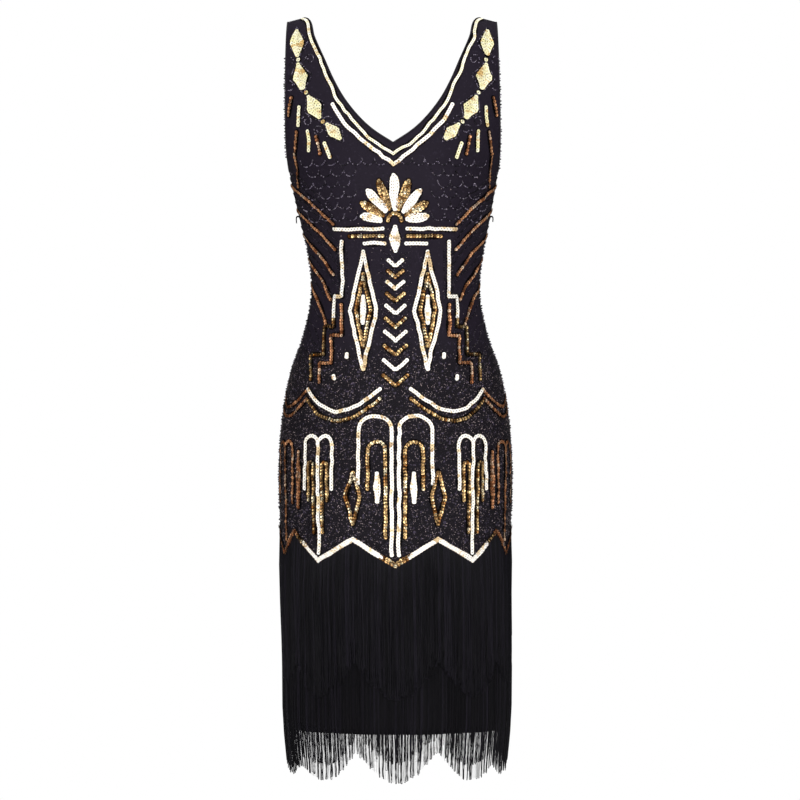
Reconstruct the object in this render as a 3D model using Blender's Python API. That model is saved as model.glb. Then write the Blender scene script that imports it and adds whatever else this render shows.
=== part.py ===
"""Sleeveless V-neck flapper dress in the hollow, worn form, with two tiers of fringe.

Metres, +Z up. The front faces -Y and the wearer's left side lies at +X. The origin lies
between the two shoulder straps, at the height where they cross the shoulders. "Drop" is a
distance below that height, and "turn" is an angle round the body, 0 at the centre line of
the front or back panel and a quarter turn at a side seam.
"""

import math
from collections import namedtuple

import bpy

MM = 0.001
FRONT, BACK = -1, 1
SIDES = (-1, 1)
QUARTER_TURN = math.pi / 2

# Lengths down from the shoulder line
UNDERARM_DROP = 216 * MM
FRONT_NECK_DROP = 184 * MM
BACK_NECK_DROP = UNDERARM_DROP
HIP_DROP = 640 * MM
SLIP_TOP_DROP = 690 * MM
SLIP_HEM_DROP = 992 * MM
HEM_DROP = 1029 * MM

# The rounding of the straps over the shoulders, and how far they fall towards the arms
SHOULDER_ROLL = 60 * MM
SHOULDER_FALL = 0.26

# Fullness that the bust darts give the front panel
BUST_DROP = 238 * MM
BUST_REACH_DOWN = 62 * MM
BUST_HALF_SPACING = 70 * MM
BUST_REACH_ACROSS = 46 * MM
BUST_FULLNESS = 9 * MM

# How much flatter than an ellipse the front and back of each section are
SECTION_FLATNESS = 0.9

# Walls and gaps
SHELL_CLOTH = 1.2 * MM
SLIP_CLOTH = 1.0 * MM
SLIP_CLEARANCE = 0.6 * MM
SEAM_GAP = 0.7 * MM

# Fringe: locks of thread that hang from a narrow tape
TAPE_HEIGHT = 7 * MM
TAPE_CLEARANCE = 0.6 * MM
LOCK_THICKNESS = 1.4 * MM
LOCK_SHARE_OF_PITCH = 0.6
LOCK_TIP_SHARE = 0.7
LOCK_BENDS = (0.5, 1.0)
LOCKS_PER_TAPE = 46
LOWER_LOCK_CLEARANCE = 1.4 * MM
UPPER_LOCK_CLEARANCE = 3.5 * MM
FRINGE_SIDE_MARGIN = 0.012

# Rows and columns of the panels' surfaces
PANEL_COLUMNS_PER_SIDE = 10
SKIRT_ROWS = 8
BODICE_ROWS = 17
ARMHOLE_FOOT_ROWS = 5
FRONT_NECK_ROWS = 9
BACK_NECK_ROWS = 12
SHOULDER_ROWS = 6
SLIP_ROWS = 7

# Sections of the body of the dress. half_width runs from the centre line to the side,
# front and back from the plane through the shoulder line, and side is where the side
# seam lies off that plane. Above the underarm half_width is that of the whole chest and
# shoulders, out of which the armholes are cut.
Section = namedtuple("Section", "drop half_width front back side")
SECTIONS = [
    Section(0 * MM, 178.0 * MM, 62 * MM, 66 * MM, 0 * MM),
    Section(60 * MM, 180.0 * MM, 72 * MM, 78 * MM, 0 * MM),
    Section(120 * MM, 173.0 * MM, 93 * MM, 94 * MM, -3 * MM),
    Section(174 * MM, 160.0 * MM, 109 * MM, 98 * MM, -6 * MM),
    Section(216 * MM, 146.0 * MM, 118 * MM, 95 * MM, -8 * MM),
    Section(241 * MM, 141.3 * MM, 120 * MM, 92 * MM, -9 * MM),
    Section(290 * MM, 131.0 * MM, 111 * MM, 84 * MM, -9 * MM),
    Section(325 * MM, 123.0 * MM, 102 * MM, 80 * MM, -8 * MM),
    Section(381 * MM, 117.0 * MM, 92 * MM, 79 * MM, -6 * MM),
    Section(437 * MM, 126.5 * MM, 96 * MM, 90 * MM, -3 * MM),
    Section(500 * MM, 147.3 * MM, 104 * MM, 107 * MM, 1 * MM),
    Section(563 * MM, 158.5 * MM, 110 * MM, 118 * MM, 4 * MM),
    Section(640 * MM, 163.0 * MM, 112 * MM, 121 * MM, 5 * MM),
    Section(745 * MM, 159.5 * MM, 110 * MM, 116 * MM, 4 * MM),
    Section(900 * MM, 157.0 * MM, 108 * MM, 112 * MM, 3 * MM),
    Section(980 * MM, 155.8 * MM, 107 * MM, 110 * MM, 3 * MM),
    Section(1039 * MM, 150.5 * MM, 104 * MM, 107 * MM, 2 * MM),
]

# Half the width of the front neckline, and half the width across the armholes' edges
EdgePoint = namedtuple("EdgePoint", "drop half_width")
NECKLINE = [
    EdgePoint(0 * MM, 123.5 * MM),
    EdgePoint(5 * MM, 117.0 * MM),
    EdgePoint(33 * MM, 107.5 * MM),
    EdgePoint(65 * MM, 93.5 * MM),
    EdgePoint(95 * MM, 80.5 * MM),
    EdgePoint(123 * MM, 65.0 * MM),
    EdgePoint(152 * MM, 42.0 * MM),
    EdgePoint(167 * MM, 25.5 * MM),
    EdgePoint(184 * MM, 0.0 * MM),
]
ARMHOLE = [
    EdgePoint(0 * MM, 146.0 * MM),
    EdgePoint(60 * MM, 147.5 * MM),
    EdgePoint(130 * MM, 148.5 * MM),
    EdgePoint(190 * MM, 148.0 * MM),
    EdgePoint(216 * MM, 146.0 * MM),
]

# Soft folds in the cloth: where each lies, how far it reaches and how deep it is. The
# first four are drag lines between bust and hip, the others the flutes of the net skirt.
Fold = namedtuple("Fold", "turn drop reach_across reach_down depth")
FOLDS = [
    Fold(math.radians(24), 330 * MM, math.radians(5), 60 * MM, -1.6 * MM),
    Fold(math.radians(38), 350 * MM, math.radians(6), 80 * MM, 1.8 * MM),
    Fold(math.radians(58), 385 * MM, math.radians(7), 70 * MM, -2.0 * MM),
    Fold(math.radians(74), 400 * MM, math.radians(6), 60 * MM, 1.4 * MM),
    Fold(math.radians(12), 1040 * MM, math.radians(7), 190 * MM, 2.2 * MM),
    Fold(math.radians(33), 1040 * MM, math.radians(8), 150 * MM, -2.4 * MM),
    Fold(math.radians(52), 1040 * MM, math.radians(7), 180 * MM, 2.0 * MM),
    Fold(math.radians(73), 1040 * MM, math.radians(7), 160 * MM, -1.8 * MM),
]

# The zigzag that the tapes follow, and where the locks end, from centre to side seam
Zigzag = namedtuple("Zigzag", "turn upper_root upper_tip lower_root lower_tip")
ZIGZAG = [
    Zigzag(math.radians(0), 764 * MM, 942 * MM, 882 * MM, 1061 * MM),
    Zigzag(math.radians(21), 729 * MM, 890 * MM, 838 * MM, 1018 * MM),
    Zigzag(math.radians(41), 758 * MM, 940 * MM, 877 * MM, 1059 * MM),
    Zigzag(math.radians(59), 718 * MM, 898 * MM, 856 * MM, 1041 * MM),
    Zigzag(math.radians(72), 751 * MM, 926 * MM, 872 * MM, 1056 * MM),
    Zigzag(math.radians(90), 712 * MM, 890 * MM, 848 * MM, 1036 * MM),
]


def smooth_curve(points):
    """A function of the first value that runs smoothly through every point."""
    steps = [(b[1] - a[1]) / (b[0] - a[0]) for a, b in zip(points, points[1:])]
    inner = [(a + b) / 2 for a, b in zip(steps, steps[1:])]
    slopes = [steps[0], *inner, steps[-1]]

    def value(at):
        i = 0
        while i < len(points) - 2 and at > points[i + 1][0]:
            i += 1
        (start, low), (end, high) = points[i], points[i + 1]
        span = end - start
        t = min(max((at - start) / span, 0.0), 1.0)
        rise = t * t * (3 - 2 * t)
        leave = t * (1 - t) ** 2 * slopes[i] * span
        arrive = t * t * (1 - t) * slopes[i + 1] * span
        return low + (high - low) * rise + leave - arrive

    return value


def straight_line(points):
    """A function of the first value with a straight run between each two points."""

    def value(at):
        for (start, low), (end, high) in zip(points, points[1:]):
            if at <= end:
                return low + (high - low) * (at - start) / (end - start)
        return points[-1][1]

    return value


half_width_at = smooth_curve([(s.drop, s.half_width) for s in SECTIONS])
depth_at = {
    FRONT: smooth_curve([(s.drop, s.front + s.side) for s in SECTIONS]),
    BACK: smooth_curve([(s.drop, s.back - s.side) for s in SECTIONS]),
}
side_at = smooth_curve([(s.drop, s.side) for s in SECTIONS])
neckline_at = smooth_curve(NECKLINE)
armhole_at = smooth_curve(ARMHOLE)


def bell(distance, reach):
    return math.exp(-((distance / reach) ** 2))


def shoulder_rounding(drop):
    """Share of the chest's depth that is left, from 1 below the roll to 0 on the ridge."""
    if drop >= SHOULDER_ROLL:
        return 1.0
    return math.sqrt(max(0.0, 1 - (1 - drop / SHOULDER_ROLL) ** 2))


def fold_height(turn, drop):
    return sum(
        f.depth * bell(abs(turn) - f.turn, f.reach_across) * bell(drop - f.drop, f.reach_down)
        for f in FOLDS
    )


def cloth_point(face, turn, drop, out=0.0):
    """A point of the dress's outer surface, or one that lies out from it."""
    across, ahead = math.sin(turn), math.cos(turn)
    lift = fold_height(turn, drop) + out
    x = (half_width_at(drop) + lift) * across
    depth = depth_at[face](drop) * shoulder_rounding(drop) * max(ahead, 0.0) ** SECTION_FLATNESS
    if face == FRONT:
        fullness = bell(abs(x) - BUST_HALF_SPACING, BUST_REACH_ACROSS)
        depth += BUST_FULLNESS * fullness * bell(drop - BUST_DROP, BUST_REACH_DOWN)
    y = side_at(drop) + face * (depth + lift * ahead)
    roll = max(0.0, 1 - drop / SHOULDER_ROLL) ** 2
    fall = SHOULDER_FALL * roll * (abs(x) - NECKLINE[0].half_width)
    return (x, y, -drop - fall)


def eased(start, stop, count, power=1.0):
    """Values from just after start up to stop, closer together near start."""
    shares = [(i / count) ** power for i in range(1, count + 1)]
    return [start * (1 - share) + stop * share for share in shares]


def shoulder_drops():
    angles = [QUARTER_TURN * (1 - i / SHOULDER_ROWS) for i in range(1, SHOULDER_ROWS + 1)]
    return [SHOULDER_ROLL * (1 - math.cos(angle)) for angle in angles]


def panel_drops(neck_drop, neck_rows):
    """Drops of a panel's rows, from the hem up over the underarm and neck to the ridge."""
    drops = [HEM_DROP, *eased(HEM_DROP, HIP_DROP, SKIRT_ROWS)]
    drops += eased(HIP_DROP, UNDERARM_DROP, BODICE_ROWS)
    if neck_drop < UNDERARM_DROP:
        drops += eased(UNDERARM_DROP, neck_drop, ARMHOLE_FOOT_ROWS, 1.6)
    drops += eased(neck_drop, SHOULDER_ROLL, neck_rows, 1.5)
    return drops + shoulder_drops()


def turn_at(half_width, drop):
    return math.asin(min(1.0, half_width / half_width_at(drop)))


def panel_surface(face, neck_drop, neck_rows):
    """Points and faces of one panel's outer surface, cut out at neck and armholes."""
    points, faces, grid = [], [], {}
    drops = panel_drops(neck_drop, neck_rows)
    for row, drop in enumerate(drops):
        inner = 0.0
        if drop < neck_drop:
            inner = turn_at(neckline_at(drop * FRONT_NECK_DROP / neck_drop), drop)
        outer = turn_at(armhole_at(drop), drop) if drop < UNDERARM_DROP else QUARTER_TURN
        for side in SIDES:
            for column in range(PANEL_COLUMNS_PER_SIDE + 1):
                if side > 0 and column == 0 and inner == 0.0:
                    grid[side, row, 0] = grid[-side, row, 0]
                    continue
                turn = inner + (outer - inner) * column / PANEL_COLUMNS_PER_SIDE
                x, y, z = cloth_point(face, side * turn, drop)
                grid[side, row, column] = len(points)
                points.append((x, y + face * SEAM_GAP / 2, z))
    for side in SIDES:
        for row in range(len(drops) - 1):
            for column in range(PANEL_COLUMNS_PER_SIDE):
                corners = [(row, column), (row, column + 1), (row + 1, column + 1), (row + 1, column)]
                quad = [grid[side, r, c] for r, c in corners]
                faces.append(quad if side * face < 0 else quad[::-1])
    return points, faces


def slip_surface(face):
    """Points and faces of the slip's outer surface, just inside the shell."""
    out = -(SHELL_CLOTH + SLIP_CLEARANCE)
    drops = [SLIP_TOP_DROP, *eased(SLIP_TOP_DROP, SLIP_HEM_DROP, SLIP_ROWS)]
    columns = 2 * PANEL_COLUMNS_PER_SIDE
    points, faces = [], []
    for drop in drops:
        for column in range(columns + 1):
            turn = QUARTER_TURN * (column / PANEL_COLUMNS_PER_SIDE - 1)
            x, y, z = cloth_point(face, turn, drop, out)
            points.append((x, y + face * SEAM_GAP / 2, z))
    for row in range(len(drops) - 1):
        for column in range(columns):
            first = row * (columns + 1) + column
            below = first + columns + 1
            quad = [first, below, below + 1, first + 1]
            faces.append(quad if face == FRONT else quad[::-1])
    return points, faces


def even_turns(face, drop, shares):
    """The turns that lie at these shares of the way round a panel, side seam to side seam."""
    samples = 180
    limit = QUARTER_TURN - FRINGE_SIDE_MARGIN
    turns = [limit * (2 * i / samples - 1) for i in range(samples + 1)]
    spots = [cloth_point(face, turn, drop) for turn in turns]
    lengths = [0.0]
    for a, b in zip(spots, spots[1:]):
        lengths.append(lengths[-1] + math.dist(a, b))
    turn_of = straight_line(list(zip(lengths, turns)))
    return [turn_of(share * lengths[-1]) for share in shares]


def fringe_surface(face, root_at, tip_at, clearance):
    """Points and faces of the inner side of one tape with its locks hanging down."""
    pitch = 1 / (LOCKS_PER_TAPE - 1 + LOCK_SHARE_OF_PITCH)
    shares = []
    for lock in range(LOCKS_PER_TAPE):
        shares += [lock * pitch, (lock + LOCK_SHARE_OF_PITCH) * pitch]
    turns = even_turns(face, root_at(0.0), [min(share, 1.0) for share in shares])
    points, faces = [], []

    def add_pair(left, right, drops, out):
        pair = [cloth_point(face, t, d, out) for t, d in zip((left, right), drops)]
        points.extend(pair)
        return [len(points) - 2, len(points) - 1]

    def add_quad(upper, lower):
        quad = [upper[0], lower[0], lower[1], upper[1]]
        faces.append(quad if face == FRONT else quad[::-1])

    last = None
    for lock in range(LOCKS_PER_TAPE):
        left, right = turns[2 * lock], turns[2 * lock + 1]
        roots = [root_at(abs(left)), root_at(abs(right))]
        top = add_pair(left, right, [root - TAPE_HEIGHT for root in roots], TAPE_CLEARANCE)
        foot = add_pair(left, right, roots, TAPE_CLEARANCE)
        add_quad(top, foot)
        if last:
            add_quad([last[0][1], top[0]], [last[1][1], foot[0]])
        last = (top, foot)
        middle = (left + right) / 2
        tip = tip_at(abs(middle))
        above = foot
        for share in LOCK_BENDS:
            spread = (right - left) / 2 * (1 + (LOCK_TIP_SHARE - 1) * share)
            drops = [root + (tip - root) * share for root in roots]
            out = TAPE_CLEARANCE + (clearance - TAPE_CLEARANCE) * min(1.0, share / LOCK_BENDS[0])
            below = add_pair(middle - spread, middle + spread, drops, out)
            add_quad(above, below)
            above = below
    return points, faces


def material(name, colour, roughness, metallic=0.0):
    made = bpy.data.materials.new(name)
    made.use_nodes = True
    shader = made.node_tree.nodes["Principled BSDF"]
    shader.inputs["Base Color"].default_value = (*colour, 1.0)
    shader.inputs["Roughness"].default_value = roughness
    shader.inputs["Metallic"].default_value = metallic
    return made


def cloth_object(name, surface, thickness, finish, outward=False):
    """A cloth wall: the surface with its thickness laid inwards, or outwards."""
    points, faces = surface
    mesh = bpy.data.meshes.new(name)
    mesh.from_pydata(points, [], faces)
    mesh.materials.append(finish)
    mesh.shade_smooth()
    made = bpy.data.objects.new(name, mesh)
    bpy.context.scene.collection.objects.link(made)
    wall = made.modifiers.new("wall", "SOLIDIFY")
    wall.thickness = thickness
    wall.offset = 1.0 if outward else -1.0
    return made


def clear_scene():
    for leftover in list(bpy.data.objects):
        bpy.data.objects.remove(leftover)


def build_panels(finish):
    front = panel_surface(FRONT, FRONT_NECK_DROP, FRONT_NECK_ROWS)
    back = panel_surface(BACK, BACK_NECK_DROP, BACK_NECK_ROWS)
    cloth_object("front_panel", front, SHELL_CLOTH, finish)
    cloth_object("back_panel", back, SHELL_CLOTH, finish)


def build_slip(finish):
    cloth_object("slip_front", slip_surface(FRONT), SLIP_CLOTH, finish)
    cloth_object("slip_back", slip_surface(BACK), SLIP_CLOTH, finish)


def build_fringes(finish):
    tiers = {
        "upper": ("upper_root", "upper_tip", UPPER_LOCK_CLEARANCE),
        "lower": ("lower_root", "lower_tip", LOWER_LOCK_CLEARANCE),
    }
    for tier, (root, tip, clearance) in tiers.items():
        root_at = straight_line([(z.turn, getattr(z, root)) for z in ZIGZAG])
        tip_at = straight_line([(z.turn, getattr(z, tip)) for z in ZIGZAG])
        for place, face in (("front", FRONT), ("back", BACK)):
            surface = fringe_surface(face, root_at, tip_at, clearance)
            cloth_object(f"{tier}_fringe_{place}", surface, LOCK_THICKNESS, finish, outward=True)


def main():
    clear_scene()
    build_panels(material("beaded black net", (0.020, 0.017, 0.024), 0.55))
    build_slip(material("black slip jersey", (0.010, 0.010, 0.012), 0.75))
    build_fringes(material("black twisted rayon", (0.008, 0.008, 0.010), 0.40))


main()
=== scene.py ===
import math
from collections import namedtuple
from functools import partial

import bpy
import numpy as np
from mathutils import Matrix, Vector


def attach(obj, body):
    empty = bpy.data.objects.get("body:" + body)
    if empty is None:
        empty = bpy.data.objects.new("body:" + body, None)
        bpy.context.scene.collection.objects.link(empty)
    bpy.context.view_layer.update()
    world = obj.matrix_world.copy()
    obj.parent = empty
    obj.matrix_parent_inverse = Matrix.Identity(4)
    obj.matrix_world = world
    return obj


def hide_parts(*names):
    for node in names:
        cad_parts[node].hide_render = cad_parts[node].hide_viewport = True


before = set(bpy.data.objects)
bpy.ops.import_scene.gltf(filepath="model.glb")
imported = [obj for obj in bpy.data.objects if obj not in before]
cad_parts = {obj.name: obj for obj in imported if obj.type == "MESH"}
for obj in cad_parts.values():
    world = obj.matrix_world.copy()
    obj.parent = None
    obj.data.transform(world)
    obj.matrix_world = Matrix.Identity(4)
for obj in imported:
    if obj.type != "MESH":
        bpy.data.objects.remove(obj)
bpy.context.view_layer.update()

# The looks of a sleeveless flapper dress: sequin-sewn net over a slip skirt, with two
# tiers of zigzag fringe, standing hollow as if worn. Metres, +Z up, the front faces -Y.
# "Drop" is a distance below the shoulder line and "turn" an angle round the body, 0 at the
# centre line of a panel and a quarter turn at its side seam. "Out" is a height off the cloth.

MM = 0.001
FRONT, BACK = -1, 1
FACES = {"front": FRONT, "back": BACK}
SIDES = (-1, 1)
QUARTER_TURN = math.pi / 2


# ---------------- the form of the dress

UNDERARM_DROP = 216 * MM
NECK_DROP = {FRONT: 184 * MM, BACK: 216 * MM}
SLIP_TOP_DROP = 690 * MM
SLIP_HEM_DROP = 992 * MM
NET_HEM_TOP_DROP = 990 * MM
NET_HEM_DROP = 1029 * MM
SHOULDER_ROLL = 60 * MM
SHOULDER_FALL = 0.26
SECTION_FLATNESS = 0.9
SEAM_EASE = 0.2
BUST_DROP = 238 * MM
BUST_REACH_DOWN = 62 * MM
BUST_HALF_SPACING = 70 * MM
BUST_REACH_ACROSS = 46 * MM
BUST_FULLNESS = 9 * MM
# How far the dress hangs to one side at the shoulders and at the hem, and where that fades
SHOULDER_SWAY = -4.8 * MM
SHOULDER_SWAY_END = 320 * MM
HEM_SWAY = 2.0 * MM
HEM_SWAY_START = 780 * MM
HEM_SWAY_REACH = 120 * MM
BODY_RADIUS = 140 * MM
# Directions are measured a step away, and not closer than this to a seam or to the top
NORMAL_STEP = 0.6 * MM
NORMAL_SEAM_SHARE = 0.985
NORMAL_TOP = 1.5 * MM


def in_metres(kind, rows):
    """Named values in metres, from rows of millimetres."""
    return [kind(*(value * MM for value in row)) for row in rows]


Section = namedtuple("Section", "drop half_width front back side")
SECTIONS = in_metres(
    Section,
    [
        (0, 178.0, 62, 66, 0), (60, 180.0, 72, 78, 0), (120, 173.0, 93, 94, -3),
        (174, 160.0, 109, 98, -6), (216, 146.0, 118, 95, -8), (241, 141.3, 120, 92, -9),
        (290, 131.0, 111, 84, -9), (325, 123.0, 102, 80, -8), (381, 117.0, 92, 79, -6),
        (437, 126.5, 96, 90, -3), (500, 147.3, 104, 107, 1), (563, 158.5, 110, 118, 4),
        (640, 163.0, 112, 121, 5), (745, 159.5, 110, 116, 4), (900, 157.0, 108, 112, 3),
        (980, 155.8, 107, 110, 3), (1039, 150.5, 104, 107, 2),
    ],
)

EdgePoint = namedtuple("EdgePoint", "drop half_width")
NECKLINE = in_metres(
    EdgePoint,
    [
        (0, 123.5), (5, 117.0), (33, 107.5), (65, 93.5), (95, 80.5), (123, 65.0), (152, 42.0),
        (167, 25.5), (184, 0.0),
    ],
)
ARMHOLE = in_metres(EdgePoint, [(0, 146.0), (60, 147.5), (130, 148.5), (190, 148.0), (216, 146.0)])

Fold = namedtuple("Fold", "turn drop reach_across reach_down depth")
FOLDS = [
    Fold(math.radians(turn), drop * MM, math.radians(across), down * MM, depth * MM)
    for turn, drop, across, down, depth in (
        (24, 330, 5, 60, -1.6), (38, 350, 6, 80, 1.8), (58, 385, 7, 70, -2.0),
        (74, 400, 6, 60, 1.4), (12, 1040, 7, 190, 2.2), (33, 1040, 8, 150, -2.4),
        (52, 1040, 7, 180, 2.0), (73, 1040, 7, 160, -1.8),
    )
]

# Smaller creases, each from one point to another. Across is measured round the body.
Crease = namedtuple("Crease", "across drop end_across end_drop width depth")
CREASES = in_metres(
    Crease,
    [
        (-176, 232, -96, 262, 7, -1.3), (-170, 262, -104, 300, 6, -1.0),
        (172, 238, 88, 272, 7, -1.4), (166, 280, 116, 306, 5, -0.9),
        (-150, 372, -70, 392, 6, -0.9), (148, 362, 84, 388, 6, -1.1),
        (-152, 402, -98, 430, 6, 0.9), (156, 408, 92, 428, 7, 0.8),
        (-120, 150, -96, 206, 7, -0.9), (118, 158, 100, 204, 6, -1.0),
    ],
)
CREASE_RADIUS = 138 * MM
BACK_CREASE_SHIFT = 9 * MM

Zigzag = namedtuple("Zigzag", "turn upper_root upper_tip lower_root lower_tip")
ZIGZAG = [
    Zigzag(math.radians(turn), *(drop * MM for drop in drops))
    for turn, *drops in (
        (0, 764, 942, 882, 1061), (21, 729, 890, 838, 1018), (41, 758, 940, 877, 1059),
        (59, 718, 898, 856, 1041), (72, 751, 926, 872, 1056), (90, 712, 890, 848, 1036),
    )
]
ZIGZAG_TURNS = [z.turn for z in ZIGZAG]


def smooth_curve(points):
    """A function of the first value that runs smoothly through every point."""
    at = np.array([p[0] for p in points])
    level = np.array([p[1] for p in points])
    steps = np.diff(level) / np.diff(at)
    slopes = np.concatenate([steps[:1], (steps[1:] + steps[:-1]) / 2, steps[-1:]])

    def value(where):
        where = np.asarray(where, float)
        i = np.clip(np.searchsorted(at, where) - 1, 0, len(at) - 2)
        span = at[i + 1] - at[i]
        t = np.clip((where - at[i]) / span, 0, 1)
        rise = t * t * (3 - 2 * t)
        leave = t * (1 - t) ** 2 * slopes[i] * span
        arrive = t * t * (1 - t) * slopes[i + 1] * span
        return level[i] + (level[i + 1] - level[i]) * rise + leave - arrive

    return value


half_width_at = smooth_curve([(s.drop, s.half_width) for s in SECTIONS])
depth_at = {
    FRONT: smooth_curve([(s.drop, s.front + s.side) for s in SECTIONS]),
    BACK: smooth_curve([(s.drop, s.back - s.side) for s in SECTIONS]),
}
side_at = smooth_curve([(s.drop, s.side) for s in SECTIONS])
front_neckline_at = smooth_curve(NECKLINE)
armhole_at = smooth_curve(ARMHOLE)


def neckline_at(face, drop):
    return front_neckline_at(drop * NECK_DROP[FRONT] / NECK_DROP[face])


def zigzag_at(column, turn):
    """Drop of a fringe's roots or tips at a turn, from the zigzag's straight runs."""
    return np.interp(np.abs(turn), ZIGZAG_TURNS, [getattr(z, column) for z in ZIGZAG])


def bell(distance, reach):
    return np.exp(-((distance / reach) ** 2))


def crease_height(face, turn, drop):
    """Height of the small creases; the back's are the front's, shifted and changed over."""
    across = turn * CREASE_RADIUS * face * -1
    drop = drop - (BACK_CREASE_SHIFT if face == BACK else 0.0)
    height = 0.0
    for c in CREASES:
        run_x, run_z = c.end_across - c.across, c.end_drop - c.drop
        off_x, off_z = across - c.across, drop - c.drop
        along = np.clip((off_x * run_x + off_z * run_z) / (run_x**2 + run_z**2), 0, 1)
        away = np.hypot(off_x - along * run_x, off_z - along * run_z)
        # a crease is shallow at its ends and deepest at its middle
        height = height + c.depth * bell(away, c.width) * np.sin(np.pi * (0.12 + 0.76 * along))
    return height


def cloth_point(face, turn, drop, out=0.0):
    """Points of the dress's outer surface, or points that lie out from it."""
    turn, drop, out = np.broadcast_arrays(turn, drop, out)
    across, ahead = np.sin(turn), np.cos(turn)
    folds = sum(
        f.depth * bell(np.abs(turn) - f.turn, f.reach_across) * bell(drop - f.drop, f.reach_down)
        for f in FOLDS
    )
    lift = folds + crease_height(face, turn, drop) + out
    x = (half_width_at(drop) + lift) * across
    up = np.clip(1 - drop / SHOULDER_ROLL, 0, 1)
    depth = depth_at[face](drop) * np.sqrt(1 - up**2) * np.maximum(ahead, 0) ** SECTION_FLATNESS
    if face == FRONT:
        fullness = bell(np.abs(x) - BUST_HALF_SPACING, BUST_REACH_ACROSS)
        fullness = fullness * np.clip(ahead / SEAM_EASE, 0, 1)
        depth = depth + BUST_FULLNESS * fullness * bell(drop - BUST_DROP, BUST_REACH_DOWN)
    y = side_at(drop) + face * (depth + lift * ahead)
    # over the shoulder the cloth falls to the side, and "out" is mostly upwards
    z = -drop - SHOULDER_FALL * up**2 * (np.abs(x) - NECKLINE[0].half_width)
    z = z + out * up**2
    high = np.clip(1 - drop / SHOULDER_SWAY_END, 0, 1)
    low = np.clip((drop - HEM_SWAY_START) / HEM_SWAY_REACH, 0, 1)
    x = x + SHOULDER_SWAY * high * (2 - high) + HEM_SWAY * low * low * (3 - 2 * low)
    return np.stack([x, y, z], axis=-1)


def cloth_normal(face, turn, drop):
    """Outward directions of the surface, from the points a small step away."""
    step = NORMAL_STEP
    spin = step / BODY_RADIUS
    limit = QUARTER_TURN * NORMAL_SEAM_SHARE
    turn = np.clip(turn, -limit, limit)
    drop = np.maximum(drop, NORMAL_TOP)
    across = cloth_point(face, turn + spin, drop) - cloth_point(face, turn - spin, drop)
    down = cloth_point(face, turn, drop + step) - cloth_point(face, turn, drop - step)
    normal = np.cross(across, down) * -face
    return normal / np.linalg.norm(normal, axis=-1, keepdims=True)


def turn_for(across, drop, limit=0.9995):
    """The turn of a point that lies this far across from the centre line."""
    return np.arcsin(np.clip(np.asarray(across) / half_width_at(drop), -limit, limit))


def arm_turn(drop):
    return turn_for(armhole_at(drop), drop, limit=1.0)


def run_along(points):
    """How far along a row of points each one lies."""
    return np.concatenate([[0], np.cumsum(np.linalg.norm(np.diff(points, axis=0), axis=1))])


# ---------------- small makers' helpers


def linear(hex_colour):
    """Linear red, green, blue and alpha of an sRGB hex value."""
    parts = [int(hex_colour[i : i + 2], 16) / 255 for i in (1, 3, 5)]
    return (*[c / 12.92 if c <= 0.04045 else ((c + 0.055) / 1.055) ** 2.4 for c in parts], 1.0)


def fill(node, inputs):
    """Gives each named input of a node its value, a hex colour, or a link from a socket."""
    for name, value in inputs.items():
        if isinstance(value, bpy.types.NodeSocket):
            node.id_data.links.new(value, node.inputs[name])
        else:
            is_colour = str(value).startswith("#")
            node.inputs[name].default_value = linear(value) if is_colour else value


def add_node(tree, kind, inputs=None, give=None, **settings):
    """Adds a node with its settings and links. Gives the named output, or the first in use."""
    made = tree.nodes.new(kind)
    for name, value in settings.items():
        setattr(made, name, value)
    fill(made, inputs or {})
    return made.outputs[give] if give else next((s for s in made.outputs if s.enabled), None)


def new_object(name, mesh):
    made = bpy.data.objects.new(name, mesh)
    bpy.context.scene.collection.objects.link(made)
    return made


def mark(mesh, name, values, kind="FLOAT", field="value"):
    """Keeps a number or a direction on every point of a mesh."""
    layer = mesh.attributes.new(name, kind, "POINT")
    layer.data.foreach_set(field, np.asarray(values, np.float32).ravel())


def grid_mesh(name, points, measures=None, flip=False):
    """A mesh of a grid of points; measures are its UV places in metres."""
    rows, columns = points.shape[:2]
    index = np.arange(rows * columns).reshape(rows, columns)
    quads = np.stack([index[:-1, :-1], index[:-1, 1:], index[1:, 1:], index[1:, :-1]], axis=-1)
    quads = quads.reshape(-1, 4)[:, :: -1 if flip else 1]
    mesh = bpy.data.meshes.new(name)
    mesh.from_pydata(points.reshape(-1, 3).tolist(), [], quads.tolist())
    if measures is not None:
        corners = np.zeros(len(mesh.loops), np.int32)
        mesh.loops.foreach_get("vertex_index", corners)
        layer = mesh.uv_layers.new(name="metres")
        layer.data.foreach_set("uv", measures.reshape(-1, 2)[corners].ravel())
    mesh.polygons.foreach_set("use_smooth", [True] * len(mesh.polygons))
    return mesh


def chain_mesh(chains, normals=()):
    """A mesh of open chains of points, with the cloth's direction on each where it is given."""
    first = np.delete(np.arange(sum(map(len, chains)) - 1), np.cumsum([*map(len, chains)])[:-1] - 1)
    mesh = bpy.data.meshes.new("guides")
    mesh.from_pydata(np.concatenate(chains).tolist(), np.stack([first, first + 1], 1).tolist(), [])
    if normals:
        mark(mesh, "cloth_normal", np.concatenate(normals), "FLOAT_VECTOR", "vector")
    return mesh


def new_tree(name, **inputs):
    """A geometry tree with inputs listed by kind, the adder of its nodes, and its inputs."""
    tree = bpy.data.node_groups.new(name, "GeometryNodeTree")
    tree.interface.new_socket("Geometry", in_out="OUTPUT", socket_type="NodeSocketGeometry")
    for kind, labels in {"Geometry": ["Geometry"], **inputs}.items():
        for label in labels:
            tree.interface.new_socket(label, in_out="INPUT", socket_type=f"NodeSocket{kind}")
    return tree, partial(add_node, tree), tree.nodes.new("NodeGroupInput").outputs


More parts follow.
